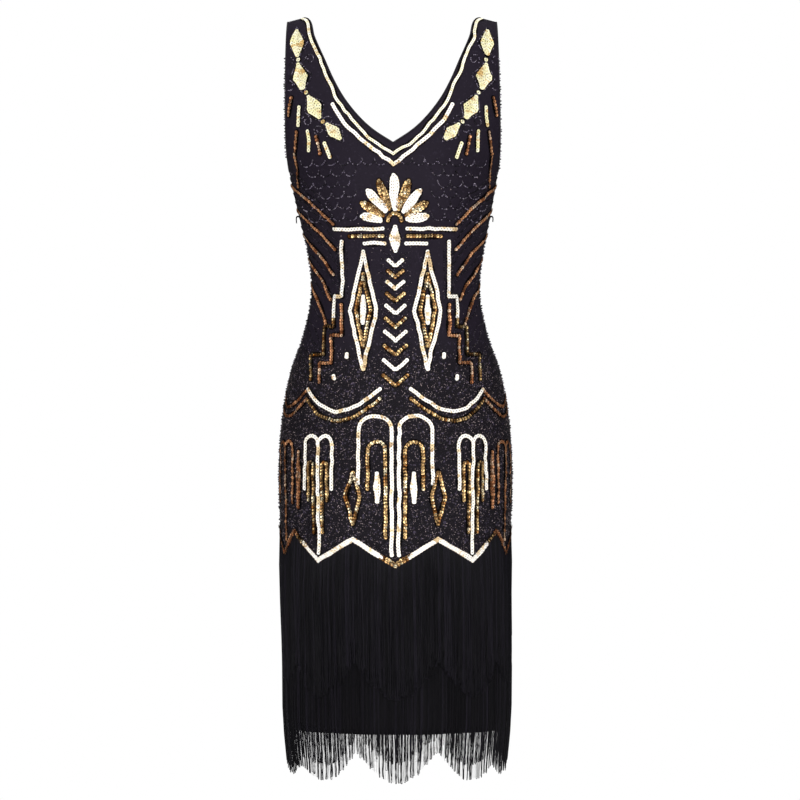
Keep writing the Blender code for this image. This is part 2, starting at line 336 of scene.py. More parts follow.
def grown(name, mesh, tree, values):
    """Runs a tree of geometry nodes on a mesh. The plain result is a new object."""
    source = new_object(f"{name}_source", mesh)
    modifier = source.modifiers.new("work", "NODES")
    modifier.node_group = tree
    for item in tree.interface.items_tree:
        if item.in_out == "INPUT" and item.name in values:
            modifier[item.identifier] = values[item.name]
    evaluated = source.evaluated_get(bpy.context.evaluated_depsgraph_get())
    plain = bpy.data.meshes.new_from_object(evaluated)
    plain.name = name
    bpy.data.objects.remove(source)
    return new_object(name, plain)


def walled(name, mesh, thickness, material):
    """Cloth of some thickness, whose outer face is the mesh."""
    made = new_object(name, mesh)
    mesh.materials.clear()
    mesh.materials.append(material)
    wall = made.modifiers.new("wall", "SOLIDIFY")
    wall.thickness = thickness
    wall.offset = -1.0
    return made


def settle(piece, slot, *replaced):
    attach(piece, "root")
    if replaced:
        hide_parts(*replaced)


# ---------------- materials

SEED_BEAD = 2.1 * MM
NET_KNIT = 1.1 * MM
JERSEY_RIB = 1.4 * MM
FOIL_SPELL = 17 * MM


def new_material(name, base, roughness, specular=0.5, **others):
    """A material with the constants of its shader, the adder of its nodes and the shader."""
    made = bpy.data.materials.new(name)
    made.use_nodes = True
    shader = made.node_tree.nodes["Principled BSDF"]
    fill(shader, {"Base Color": base, "Roughness": roughness, "Specular IOR Level": specular})
    fill(shader, others)
    return made, partial(add_node, made.node_tree), shader


def metre_places(add, repeat):
    """Places on the cloth, counted in repeats of this length."""
    places = add("ShaderNodeUVMap", uv_map="metres")
    return add("ShaderNodeMapping", {"Vector": places, "Scale": (1 / repeat,) * 3})


def beaded_net():
    """Black stretch net over jersey, sewn with seed beads of about 2 mm: a matt ground with
    small round bumps, a few of which are painted lilac-grey and made smoother, a painted glint."""
    made, add, shader = new_material("black net with seed beads", "#1b1520", 0.7, 0.12)
    cover = add("ShaderNodeAttribute", give="Fac", attribute_name="bead_cover")
    beads = add("ShaderNodeTexVoronoi", {"Vector": metre_places(add, SEED_BEAD), "Scale": 1.0})
    knit = add("ShaderNodeTexNoise", {"Vector": metre_places(add, NET_KNIT), "Scale": 1.0})
    values = {"Value": beads, "From Max": 0.55, "To Min": 1.0, "To Max": 0.0}
    dome = add("ShaderNodeMapRange", values)
    relief = add("ShaderNodeMix", {"Factor": cover, "A": knit, "B": dome})
    bump = add("ShaderNodeBump", {"Height": relief, "Strength": 0.6, "Distance": 0.9 * MM})
    # painted highlight: a few bead cells are painted lilac-grey as glints, and made smoother
    chance = add("ShaderNodeSeparateColor", {"Color": beads.node.outputs["Color"]})
    painted_glint = add("ShaderNodeMapRange", {"Value": chance, "From Min": 0.9, "From Max": 1.0})
    painted_glint = add("ShaderNodeMath", {0: painted_glint, 1: cover}, operation="MULTIPLY")
    close = add("ShaderNodeMapRange", {"Value": cover, "From Min": 0.12})
    values = {"Factor": close, "A": "#1c1621", "B": "#151118"}
    ground = add("ShaderNodeMix", values, data_type="RGBA")
    # under the fringe the net is bare of beads, and it is painted darkest there, a painted shade
    # from the fringe over it
    shown = add("ShaderNodeMapRange", {"Value": cover, "From Max": 0.1})
    ground = add("ShaderNodeMix", {"Factor": shown, "A": "#0e0c11", "B": ground}, data_type="RGBA")
    colour = add("ShaderNodeMix", {"Factor": painted_glint, "A": ground, "B": "#4d4558"}, data_type="RGBA")
    rough = add("ShaderNodeMapRange", {"Value": painted_glint, "To Min": 0.7, "To Max": 0.25})
    fill(shader, {"Base Color": colour, "Roughness": rough, "Normal": bump})
    return made


def sequin_foil(foil):
    """Metallised film, stamped into flat cups: a metal mirror with a slight haze, each
    sequin a little lighter or darker than the next, and in short spells painted in another
    tone, a painted reflection. Each sequin has a painted shade at its sides, where it bends
    away, and a thread at its hole. The metal films also carry painted shade all round their
    edges, so that a line of them is ribbed. The pale films are hardly metallised, and softly
    lustrous."""
    made, add, shader = new_material(foil.title, foil.light, foil.roughness, Metallic=foil.metallic)
    shade = add("ShaderNodeAttribute", give="Fac", attribute_name="shade")
    values = {"Factor": shade, "A": foil.dark, "B": foil.light}
    film = add("ShaderNodeMix", values, data_type="RGBA")
    # painted reflection: a tone from the rim colour to the fourth colour, shown in short spells
    chance = add("ShaderNodeTexWhiteNoise", {"W": shade}, noise_dimensions="1D")
    values = {"Factor": chance, "A": foil.rim, "B": foil.rare}
    turned = add("ShaderNodeMix", values, data_type="RGBA")
    where = add("ShaderNodeTexCoord", give="Object")
    patches = add("ShaderNodeTexNoise", {"Vector": where, "Scale": 1 / FOIL_SPELL, "Detail": 1.0})
    ragged = add("ShaderNodeMath", {0: chance, 1: 0.25, 2: patches}, operation="MULTIPLY_ADD")
    spell = add("ShaderNodeMapRange", {"Value": ragged, "From Min": 0.76, "From Max": 0.78})
    varied = add("ShaderNodeMix", {"Factor": spell, "A": film, "B": turned}, data_type="RGBA")
    # painted shade: darker at the sides of each sequin, where it bends away, and on the metal films
    # all round, between the overlapping sequins
    beside = add("ShaderNodeAttribute", give="Fac", attribute_name="beside")
    bend = add("ShaderNodeMapRange", {"Value": beside, "From Min": 0.66, "From Max": 0.95})
    place = add("ShaderNodeAttribute", give="Fac", attribute_name="rim")
    values = {"Value": place, "From Min": 0.6, "From Max": 0.9, "To Max": foil.edge}
    edge = add("ShaderNodeMapRange", values)
    painted_shade = add("ShaderNodeMath", {0: bend, 1: edge}, operation="MAXIMUM")
    shaded_film = add("ShaderNodeMix", {"Factor": painted_shade, "A": varied, "B": foil.rim}, data_type="RGBA")
    hole = add("ShaderNodeMapRange", {"Value": place, "From Min": 0.16, "From Max": 0.04})
    colour = add("ShaderNodeMix", {"Factor": hole, "A": shaded_film, "B": foil.thread}, data_type="RGBA")
    fill(shader, {"Base Color": colour})
    return made


def black_glass(title, first_pale, last_pale, dim, bright):
    """Pressed black glass: nearly black, and a share of it painted lilac-grey, a painted glint."""
    made, add, shader = new_material(title, "#09070b", 0.3, 0.16, IOR=1.52)
    shade = add("ShaderNodeAttribute", give="Fac", attribute_name="shade")
    # painted highlight: beads past the first share are painted a light lilac-grey as glints
    values = {"Value": shade, "From Min": first_pale, "From Max": last_pale}
    pale = add("ShaderNodeMapRange", values)
    tint = add("ShaderNodeTexWhiteNoise", {"W": shade}, noise_dimensions="1D")
    glint_tone = add("ShaderNodeMix", {"Factor": tint, "A": dim, "B": bright}, data_type="RGBA")
    colour = add("ShaderNodeMix", {"Factor": pale, "A": "#050406", "B": glint_tone}, data_type="RGBA")
    fill(shader, {"Base Color": colour})
    return made


def twisted_rayon():
    """Fine twisted rayon thread dyed black: soft and silky, slightly different from one
    thread to the next, with the twist too fine to see."""
    made, add, shader = new_material("black twisted rayon", "#0f0d13", 0.55, 0.1)
    shade = add("ShaderNodeAttribute", give="Fac", attribute_name="shade")
    light = add("ShaderNodeMapRange", {"Value": shade, "From Min": 0.6, "From Max": 1.0})
    values = {"Factor": light, "A": "#0d0c10", "B": "#1e1b24"}
    colour = add("ShaderNodeMix", values, data_type="RGBA")
    fill(shader, {"Base Color": colour})
    return made


def slip_jersey():
    """Fine matt polyester jersey: a flat black with a barely visible knit."""
    made, add, shader = new_material("black slip jersey", "#100f13", 0.8, 0.12)
    values = {"Vector": metre_places(add, JERSEY_RIB), "Scale": 0.5, "Distortion": 0.4}
    ribs = add("ShaderNodeTexWave", values, give="Fac", bands_direction="X")
    values = {"Height": ribs, "Strength": 0.3, "Distance": 0.3 * MM}
    fill(shader, {"Normal": add("ShaderNodeBump", values)})
    return made


def edge_satin():
    """Narrow black satin that turns in the raw edges: smoother than the net beside it."""
    made, add, shader = new_material("black satin edging", "#17131a", 0.42, 0.3)
    where = add("ShaderNodeTexCoord", give="Object")
    grain = add("ShaderNodeTexNoise", {"Vector": where, "Scale": 900.0})
    values = {"Height": grain, "Strength": 0.25, "Distance": 0.3 * MM}
    fill(shader, {"Normal": add("ShaderNodeBump", values)})
    return made


# ---------------- cloth pieces

CLOTH_WALL = 0.8 * MM
SLIP_DEPTH = 1.9 * MM
PANEL_COLUMNS = 30
BODY_ROWS, UNDER_NECK_ROWS, NECK_ROWS, SHOULDER_ROWS = 114, 8, 26, 12
ROW_EASE = 1.3
SLIP_ROWS, SLIP_COLUMNS = 40, 73
MEASURE_START = 0.3
JOIN_DISTANCE = 0.02 * MM
LOOSE_COVER = 0.12
CLOSE_COVER_DROP = 430 * MM
CLOSE_COVER_REACH = 60 * MM


def eased(start, stop, count, power=1.0):
    shares = (np.arange(1, count + 1) / count) ** power
    return start * (1 - shares) + stop * shares


def shoulder_drops(count):
    return SHOULDER_ROLL * (1 - np.cos(QUARTER_TURN * (1 - np.arange(1, count + 1) / count)))


def row_lengths(face, drop, turns):
    """How far round the cloth each turn lies from the centre line."""
    fine = np.linspace(0, QUARTER_TURN, 61)
    return np.sign(turns) * np.interp(np.abs(turns), fine, run_along(cloth_point(face, fine, drop)))


def bead_cover(drop, turn):
    """Share of the ground that seed beads cover: loose on the bodice, close on the skirt
    and none under the fringe."""
    close = np.clip((drop - CLOSE_COVER_DROP) / CLOSE_COVER_REACH, LOOSE_COVER, 1.0)
    # where this is nought, under the fringe, the net's material also paints shade
    return np.where(drop < zigzag_at("upper_root", turn) + 4 * MM, close, 0.0)


def panel(name, face, material):
    """One panel of the net, cut out at the neck and the armholes. Its halves meet down the
    centre line below the neck, where their points are merged."""
    neck = NECK_DROP[face]
    drops = [NET_HEM_TOP_DROP, *eased(NET_HEM_TOP_DROP, UNDERARM_DROP, BODY_ROWS)]
    if neck < UNDERARM_DROP:
        drops += [*eased(UNDERARM_DROP, neck, UNDER_NECK_ROWS, ROW_EASE)]
    drops += [*eased(neck, SHOULDER_ROLL, NECK_ROWS, ROW_EASE), *shoulder_drops(SHOULDER_ROWS)]
    tree, add, _ = new_tree("join halves")
    both = add("GeometryNodeJoinGeometry")
    halves = []
    for side in SIDES:
        points, measures, cover = [], [], []
        for drop in drops:
            inner = float(turn_for(neckline_at(face, drop), drop)) if drop < neck else 0.0
            outer = float(arm_turn(drop)) if drop < UNDERARM_DROP else QUARTER_TURN
            turns = side * np.linspace(inner, outer, PANEL_COLUMNS + 1)
            points.append(cloth_point(face, turns, drop))
            lengths = row_lengths(face, drop, turns) + MEASURE_START
            measures.append(np.stack([lengths, np.full_like(turns, -drop)], axis=-1))
            cover.append(bead_cover(drop, turns))
        mesh = grid_mesh(f"{name}_{side}", np.array(points), np.array(measures), side * face > 0)
        mark(mesh, "bead_cover", cover)
        halves.append(new_object(mesh.name, mesh))
        half = add("GeometryNodeObjectInfo", {"Object": halves[-1]}, give="Geometry")
        fill(both.node, {"Geometry": half})
    merged = add("GeometryNodeMergeByDistance", {"Geometry": both, "Distance": JOIN_DISTANCE})
    add("NodeGroupOutput", {"Geometry": merged})
    whole = grown("whole", bpy.data.meshes.new("empty"), tree, {})
    mesh = whole.data
    mesh.name = name
    for spent in (whole, *halves):
        bpy.data.objects.remove(spent)
    return walled(name, mesh, CLOTH_WALL, material)


def slip_piece(name, face, material):
    turns = np.linspace(-QUARTER_TURN, QUARTER_TURN, SLIP_COLUMNS)
    points, measures = [], []
    for drop in np.linspace(SLIP_TOP_DROP, SLIP_HEM_DROP, SLIP_ROWS):
        points.append(cloth_point(face, turns, drop, -SLIP_DEPTH))
        lengths = row_lengths(face, drop, turns)
        measures.append(np.stack([lengths, np.full_like(turns, -drop)], axis=-1))
    mesh = grid_mesh(name, np.array(points), np.array(measures), flip=(face == FRONT))
    return walled(name, mesh, CLOTH_WALL, material)


# ---------------- sewn lines

# The fourth colour of a foil is a painted reflection that shows in short spells along the lines;
# its rim colour goes into that reflection and is the painted shade at the sequins' sides and
# edges. Edge is how strongly a metal film is painted darker all round, a painted shade between
# the overlapping sequins, and the tilts are angles about X, Y and Z.
Foil = namedtuple(
    "Foil",
    "title dark light rare rim thread radius pitch"
    " roughness metallic cup least_tilt most_tilt edge",
)
PALE, LEMON, GOLD, COPPER, IVORY = "pale", "lemon", "gold", "copper", "ivory"
PEARLY = (0.42, 0.12, 0.35 * MM, (-0.08, -0.19, 0.0), (0.08, -0.06, 0.0), 0.0)
GILT = (0.25, 1.0, 0.7 * MM, (-0.2, -0.28, 0.0), (0.2, 0.02, 0.0), 0.85)
DULLED = (0.36, 0.7, 0.7 * MM, (-0.22, -0.3, 0.0), (0.22, 0.02, 0.0), 0.85)
FOILS = {
    kind: Foil(f"{title} sequin foil", *colours.split(), radius * MM, pitch * MM, *film)
    for kind, title, colours, radius, pitch, film in (
        (PALE, "pale gold", "#fffaec #fffefc #f0d8a8 #8a5a2c #7f6f44", 3.1, 4.2, PEARLY),
        (LEMON, "lemon gold", "#efe8ad #fbf8dc #e2bd77 #84592b #857c48", 3.1, 4.2, PEARLY),
        (GOLD, "old gold", "#6a421c #efcc92 #fff3cf #432710 #3f2814", 3.0, 4.2, GILT),
        (COPPER, "copper", "#7a431f #f0b07e #ffe0c0 #44220c #3a2213", 2.8, 4.2, DULLED),
        (IVORY, "ivory", "#f4efcb #fefdf0 #f1e2b4 #84592b #7d7348", 2.4, 3.2, PEARLY),
    )
}

# From here to the sewing, lines are (foil, path), and paths are in millimetres across and down
HAND_WAVER = 0.55
FILL_INSET = 2.7
FILL_STEP = 3.9
FILL_END_SHARE = 1.2
FILL_NARROWEST = 1.0
FILL_LAST_LINE = -2.4
NECK_WAVER = 0.8
NECK_WAVE = 7.5
FAN_DROP = 292
FAN_HOLLOW = 14
PETAL_WIDTH = 14
CHEVRON_DROP = 352.0
CHEVRON_HALF = 9.0
CHEVRON_STEP = 15.0
CHEVRON_GROWTH = 0.8
CHEVRON_SLOPE = 0.9
SIDE_BAR_DROP = 236
SIDE_BAR_STEP = 34
SIDE_BAR_FALL = 58
SIDE_BAR_BOW = 9
SIDE_BAR_TURN = 86


def densely(path, step=2.0):
    """The same path with points every few millimetres."""
    path = np.array(path, float)
    run = run_along(path)
    at = np.linspace(0, run[-1], max(2, int(run[-1] / step) + 1))
    return np.stack([np.interp(at, run, path[:, 0]), np.interp(at, run, path[:, 1])], axis=1)


def hand_sewn(path, rng):
    """The path with the small waver that sewing by hand gives it."""
    knots = rng.normal(0, HAND_WAVER, (2, max(3, len(path) // 4)))
    knots[:, 0] = knots[:, -1] = 0
    at = np.linspace(0, knots.shape[1] - 1, len(path))
    waver = [np.interp(at, np.arange(knots.shape[1]), row) for row in knots]
    return path + np.stack(waver, axis=1)


def around(turn, drop):
    """Millimetres across and down of a point given by its turn in degrees."""
    return (float(half_width_at(drop * MM)) / MM * math.sin(math.radians(turn)), drop)


def with_mirrored(paths):
    return paths + [[(-x, d) for x, d in path] for path in paths]


def both_sides(lines):
    return lines + [(foil, [(-x, d) for x, d in path]) for foil, path in lines]


def towards(bearing):
    """A step of one across and down along a bearing, 0 being up."""
    return np.array([math.sin(math.radians(bearing)), -math.cos(math.radians(bearing))])


def filled(foil, middle, bearing, length, width, corners):
    """A shape filled with sequins, sewn round and round from its edge to its middle.
    Its long axis points along the bearing; corners give the outline as shares of half the
    length and half the width."""
    along = towards(bearing)
    beside = np.array([-along[1], along[0]])
    lines, inset = [], FILL_INSET
    while width / 2 - inset > FILL_NARROWEST:
        half_length, half_width = length / 2 - inset * FILL_END_SHARE, width / 2 - inset
        path = [middle + along * a * half_length + beside * b * half_width for a, b in corners]
        lines.append((foil, path))
        inset += FILL_STEP
    if width / 2 - inset > FILL_LAST_LINE:
        lines.append((foil, [middle + along * a * ((length - width) / 2) for a in (-1, 1)]))
    return lines


def lozenge(foil, middle, bearing, length, width):
    return filled(foil, middle, bearing, length, width, [(1, 0), (0, 1), (-1, 0), (0, -1), (1, 0)])


def petal(foil, middle, bearing, length, width):
    angles = np.linspace(0, 2 * math.pi, 29)
    corners = [(math.cos(a), math.sin(a) * (0.82 + 0.18 * math.cos(a))) for a in angles]
    return filled(foil, middle, bearing, length, width, corners)


def dot(foil, middle, width=10.0):
    return petal(foil, middle, 0, width, width)


def neck_lines(face):
    """Two plain lines that follow the neckline, further from it towards the V."""
    lines = []
    depth = NECK_DROP[face] / MM
    drops = np.concatenate([np.linspace(1.0, depth, 90), [depth + 0.6]])
    edge = neckline_at(face, np.minimum(drops, depth) * MM) / MM
    edge[-1] = edge[-2] - 0.9
    run = np.stack([np.gradient(edge), np.gradient(drops)], axis=1)
    run /= np.linalg.norm(run, axis=1, keepdims=True)
    outward = np.stack([run[:, 1], -run[:, 0]], axis=1)
    for foil, first, margin, widening in ((IVORY, 0, 4.0, 9.0), (PALE, 58, 14.4, 8.4)):
        waver = NECK_WAVER * np.sin(drops / NECK_WAVE + margin)
        away = margin + widening * (drops / depth) ** 2 + waver
        path = (np.stack([edge, drops], axis=1) + outward * away[:, None])[first:]
        path = path[path[:, 0] > 0]
        slope = (path[-1, 1] - path[-4, 1]) / (path[-1, 0] - path[-4, 0])
        lines.append((foil, [*path, (0.0, path[-1, 1] - slope * path[-1, 0])]))
    return both_sides(lines)


# Middle, bearing, length and width of each lozenge, and middle, bearing and length of each bar
STRAP_LOZENGES = [
    ((131, 40), 2, 42, 20), ((126, 89), 10, 42, 23),
    ((107, 133), 26, 40, 22), ((80, 168), 42, 34, 17),
]
STRAP_DOTS = [(129, 65), (118, 112), (95, 154)]
STRAP_BARS = [
    (COPPER, (139, 118), 170, 24), (LEMON, (128, 132), 176, 24), (COPPER, (132, 166), 174, 30),
    (LEMON, (117, 166), 184, 26), (COPPER, (105, 174), 192, 24), (LEMON, (93, 184), 200, 20),
]


def strap_lozenges():
    """A chain of lozenges down each strap, with dots between and short bars."""
    lines = []
    for shape in STRAP_LOZENGES:
        lines += lozenge(LEMON, *shape)
    for middle in STRAP_DOTS:
        lines += dot(LEMON, middle, 8)
    for foil, start, bearing, length in STRAP_BARS:
        lines.append((foil, [start, start + length * towards(bearing)]))
    return both_sides(lines)


def bust_fan():
    """A fan of nine petals over a pendant, with stepped bars to each side."""
    lines = []
    for step, bearing in enumerate(range(-80, 81, 20)):
        length = (34, 40, 44, 48, 52)[4 - abs(step - 4)]
        middle = np.array([0, FAN_DROP]) + (FAN_HOLLOW + length / 2) * towards(bearing)
        lines += petal(GOLD if step % 2 else PALE, middle, bearing, length, PETAL_WIDTH)
    angles = np.linspace(-1.6, 1.6, 11)
    lines.append((GOLD, [(9 * math.sin(a), 290 - 9 * math.cos(a)) for a in angles]))
    lines += lozenge(PALE, (0, 314), 180, 40, 16)
    bars = ((PALE, 301, 17, 82), (GOLD, 311, 17, 62), (PALE, 321, 15, 42))
    bars = [(foil, [(near, drop), (far, drop)]) for foil, drop, near, far in bars]
    return lines + both_sides(bars)


def spine_chevrons():
    """Chevrons down the centre line from the waist to the hips."""
    lines = []
    drop = CHEVRON_DROP
    for step in range(10):
        half = CHEVRON_HALF + CHEVRON_GROWTH * step
        high = drop - half * CHEVRON_SLOPE
        lines.append((GOLD if step % 2 else PALE, [(-half, high), (0, drop), (half, high)]))
        drop += CHEVRON_STEP + CHEVRON_GROWTH * step
    return lines


def torso_lozenges():
    """Long nested lozenges beside the spine, with two stepped lines outside them."""
    side = [
        (PALE, [(44, 332), (62, 412), (44, 494), (26, 412), (44, 332)]),
        (GOLD, [(44, 362), (54, 412), (44, 464), (34, 412), (44, 362)]),
        (PALE, [(72, 318), (72, 392), (84, 392), (84, 420)]),
        (GOLD, [(84, 424), (84, 434), (98, 434), (98, 472), (116, 472), (116, 506)]),
        (COPPER, [(73, 404), (73, 446), (87, 446), (87, 484), (104, 484), (104, 510)]),
    ]
    side += lozenge(PALE, (44, 412), 0, 44, 10)
    return both_sides(side + dot(PALE, (66, 474)) + dot(PALE, (84, 504)))


def side_bar_falls(start, steps):
    return start + SIDE_BAR_FALL * steps - SIDE_BAR_BOW * np.sin(math.pi * steps)


def side_bars():
    """Copper bars that fall from the side seams towards the front."""
    side = []
    steps = np.linspace(0, 1, 9)
    for number, inner in enumerate((40, 42, 46, 49, 50)):
        falls = side_bar_falls(SIDE_BAR_DROP + number * SIDE_BAR_STEP, steps)
        turns = SIDE_BAR_TURN + (inner - SIDE_BAR_TURN) * steps
        side.append((COPPER, [around(turn, fall) for turn, fall in zip(turns, falls)]))
    side.append((COPPER, [around(63, 196), around(65, 218), around(69, 240)]))
    return both_sides(side)


def hip_swags():
    """Hanging arcs over the hips, pale or gold near the centre and copper at the sides."""
    lines = []
    for top, middle_foil in ((520, PALE), (533, GOLD)):
        for foil, start, span, fall in ((middle_foil, 8, 44, 30), (COPPER, 52, 37, 24)):
            shares = np.linspace(0, 1, 22)
            path = [around(start + span * t, top + fall * math.sin(math.pi * t)) for t in shares]
            lines.append((foil, path))
    return both_sides(lines)


Jet = namedtuple("Jet", "foil near far top end foot")
SKIRT_RADIUS = 158
JET_BEND = 0.84


def fountain(turn, jets):
    """Jets that rise from their feet, bend over to both sides and fall. Each runs near the
    middle as it rises and far from it as it falls; one that rises in the middle has a
    single stem."""
    lines = []
    for jet in jets:
        reach = (jet.far - jet.near) / 2
        for side in SIDES:
            path = [(jet.near, jet.foot)] if jet.near or side > 0 else []
            for angle in np.linspace(0, math.pi, 15):
                rise = jet.top + reach * JET_BEND * (1 - math.sin(angle))
                path.append((jet.near + reach * (1 - math.cos(angle)), rise))
            path.append((jet.far, jet.end))
            path = [around(turn + side * math.degrees(s / SKIRT_RADIUS), d) for s, d in path]
            lines.append((jet.foil, path))
    return lines


def skirt_fountains():
    """A fountain over every low point of the zigzag and a lozenge over every high point."""
    centre = fountain(0, [Jet(PALE, 4.8, 50, 556, 648, 746), Jet(GOLD, 13, 37, 592, 656, 722)])
    centre += lozenge(PALE, (25, 655), 0, 46, 10) + lozenge(PALE, (-25, 655), 0, 46, 10)
    side = fountain(41, [Jet(PALE, 0, 24, 584, 656, 744), Jet(GOLD, 7.5, 16.5, 620, 672, 716)])
    side += fountain(70, [Jet(COPPER, 0, 26, 592, 676, 728)])
    corners = ((0, 1), (1, 0), (0, -1), (-1, 0), (0, 1))
    side.append((GOLD, [around(21 + 3.6 * a, 668 + 36 * b) for a, b in corners]))
    side += lozenge(COPPER, around(54.5, 645), 0, 84, 9)
    return centre + both_sides(side)


# Foil, first turn and last turn in degrees
BORDER_RUNS = [
    (GOLD, 0, 7), (PALE, 7, 21), (PALE, 21, 41), (PALE, 41, 51), (GOLD, 51, 57), (COPPER, 57, 89),
]


def zigzag_border():
    """The zigzag edge of the sequin work, two sequins wide."""
    lines = []
    for lift in (4.7, 2.9):
        for foil, first, last in BORDER_RUNS:
            corners = [math.degrees(t) for t in ZIGZAG_TURNS if first < math.degrees(t) < last]
            stops = sorted({first, last, *corners})
            path = []
            for start, stop in zip(stops, stops[1:]):
                for turn in np.linspace(start, stop, 12):
                    drop = float(zigzag_at("upper_root", math.radians(turn))) / MM
                    path.append(around(turn, drop - lift))
            lines.append((foil, path))
    return both_sides(lines)


def sewn_design(face):
    """Every sequin line of one panel."""
    lines = neck_lines(face) + strap_lozenges() + bust_fan() + spine_chevrons()
    return lines + torso_lozenges() + side_bars() + hip_swags() + skirt_fountains()


CURL_START, CURL_GROWTH, CURL_WIND = 3, 5, 7
SCALLOP_DROP = 206
SCALLOP_ROW = 15
SCALLOP_PITCH = 17
SCALLOP_HALF = 8.5
SCALLOP_FALL = 9
FAN_HALF = 58
BUST_HALF = 132


def curled(across, drop):
    """A small curl that winds out from a point."""
    shares = np.linspace(0, 1, 14)
    reach, angle = CURL_START + CURL_GROWTH * shares, CURL_WIND * shares + across
    return [(across + r * math.cos(a), drop + r * math.sin(a)) for r, a in zip(reach, angle)]


def scallops(row, drop):
    """One row of hanging arcs across the bust, kept clear of the fan."""
    arcs = []
    for column in range(-8, 9):
        middle = (column + 0.5 * (row % 2)) * SCALLOP_PITCH
        if abs(middle) > FAN_HALF or row == 0:
            angles = np.linspace(0, math.pi, 9)
            across = middle + SCALLOP_HALF * np.cos(angles)
            arcs.append([*zip(across, drop + SCALLOP_FALL * np.sin(angles))])
    return [arc for arc in arcs if max(abs(x) for x, _ in arc) < BUST_HALF]


def bust_ground():
    """Seed beads that texture the straps and the bust between the sequin lines, in the glass with
    the larger share of painted glints.
    """
    side = []
    for middle, bearing, length, width in STRAP_LOZENGES:
        side.append(lozenge(None, middle, bearing, length + 12, width + 14)[0][1])
    for place in ((113, 64), (143, 66), (143, 102), (118, 152), (101, 164), (88, 152)):
        side.append(curled(*place))
    rows = [scallops(row, SCALLOP_DROP + row * SCALLOP_ROW) for row in range(6)]
    return sum(rows, []) + with_mirrored(side)


# Across, drop, bearings of the strokes, and how long they are
SPRAYS = [
    (26, 744, (-60, -36, -12, 12, 36, 60), 30), (26, 706, (-70, -30, 30, 70), 18),
    (64, 598, (-120, -90, -30, 0, 30, 90, 120), 24), (64, 550, (-50, -18, 18, 50), 26),
    (88, 742, (-50, -20, 10, 40), 26), (126, 734, (-45, -15, 15, 45), 30),
]


def spray(across, drop, bearings, length):
    """Short strokes that spread from one point, each bent a little outwards."""
    strokes = []
    for bearing in bearings:
        angles = np.radians(bearing * (1 + 0.25 * np.linspace(0, 1, 9)))
        places = zip(np.linspace(5, length, 9), angles)
        strokes.append([(across + r * math.sin(a), drop - r * math.cos(a)) for r, a in places])
    return strokes


def smoky_ground():
    """Dark seed beads that texture the sides, the waist and the skirt."""
    side = []
    steps = np.linspace(0, 1, 18)
    for number in range(8):
        for above in (23, 12):
            falls = side_bar_falls(SIDE_BAR_DROP + number * SIDE_BAR_STEP - above, steps)
            falls = falls + 2.2 * np.sin(15 * steps + above)
            side.append([around(87 - 48 * t, fall) for t, fall in zip(steps, falls)])
    side += [[(across, 330), (across, 400)] for across in (66, 78)]
    for place in SPRAYS:
        side += spray(*place)
    waist = [[(-20, drop), (0, drop + 8), (20, drop)] for drop in range(332, 476, 9)]
    return waist + with_mirrored(side)


# ---------------- sewing

STITCH_SEED = {FRONT: 0, BACK: 50}
NECK_MARGIN = 2.4 * MM
ARM_MARGIN = 5 * MM
SEAM_SHARE = 0.9985


def clear_of_edges(face, path):
    """Parts of a path that lie on the panel."""
    drop = path[:, 1] * MM
    across = np.abs(path[:, 0]) * MM
    neck = np.where(drop < NECK_DROP[face], neckline_at(face, drop) + NECK_MARGIN, -1.0)
    seam = half_width_at(drop) * SEAM_SHARE
    arm = np.where(drop < UNDERARM_DROP, armhole_at(drop) - ARM_MARGIN, seam)
    good = (across >= neck) & (across <= arm)
    breaks = np.flatnonzero(np.diff(good)) + 1
    runs = zip(np.split(path, breaks), good[[0, *breaks]])
    return [run for run, on_panel in runs if on_panel and len(run) > 1]


def stitch_guides(face, paths, out):
    """Chains on the cloth for the sewing to follow, with the cloth's direction on each point."""
    rng = np.random.default_rng(len(paths) + STITCH_SEED[face])
    chains, normals = [], []
    for path in paths:
        for run in clear_of_edges(face, hand_sewn(densely(path), rng)):
            drop = run[:, 1] * MM
            turn = turn_for(run[:, 0] * MM, drop)
            chains.append(cloth_point(face, turn, drop, out))
            normals.append(cloth_normal(face, turn, drop))
    return chain_mesh(chains, normals)


def facing(add, tangent=None):
    """A rotation whose Z axis leaves the cloth, and whose X axis follows the line."""
    values = {"Name": "cloth_normal"}
    normal = add("GeometryNodeInputNamedAttribute", values, data_type="FLOAT_VECTOR")
    up = add("FunctionNodeAlignRotationToVector", {"Vector": normal}, axis="Z")
    if tangent is None:
        return up
    values = {"Rotation": up, "Vector": tangent}
    return add("FunctionNodeAlignRotationToVector", values, axis="X", pivot_axis="Z")


def line_points(add, given):
    """Points along the guide chains, a pitch apart."""
    curve = add("GeometryNodeMeshToCurve", {"Mesh": given["Geometry"]})
    values = {"Curve": curve, "Length": given["pitch"]}
    return add("GeometryNodeResampleCurve", values, mode="LENGTH")


def shaded(add, geometry, domain, draw):
    """Gives every instance or curve its own shade."""
    chance = add("FunctionNodeRandomValue", {"Min": 0.0, "Max": 1.0, **draw}, data_type="FLOAT")
    values = {"Geometry": geometry, "Name": "shade", "Value": chance}
    return add("GeometryNodeStoreNamedAttribute", values, data_type="FLOAT", domain=domain)


def finish(add, geometry, given):
    """Makes the instances real and sets the material."""
    real = add("GeometryNodeRealizeInstances", {"Geometry": geometry})
    done = add("GeometryNodeSetMaterial", {"Geometry": real, "Material": given["finish"]})
    add("NodeGroupOutput", {"Geometry": done})


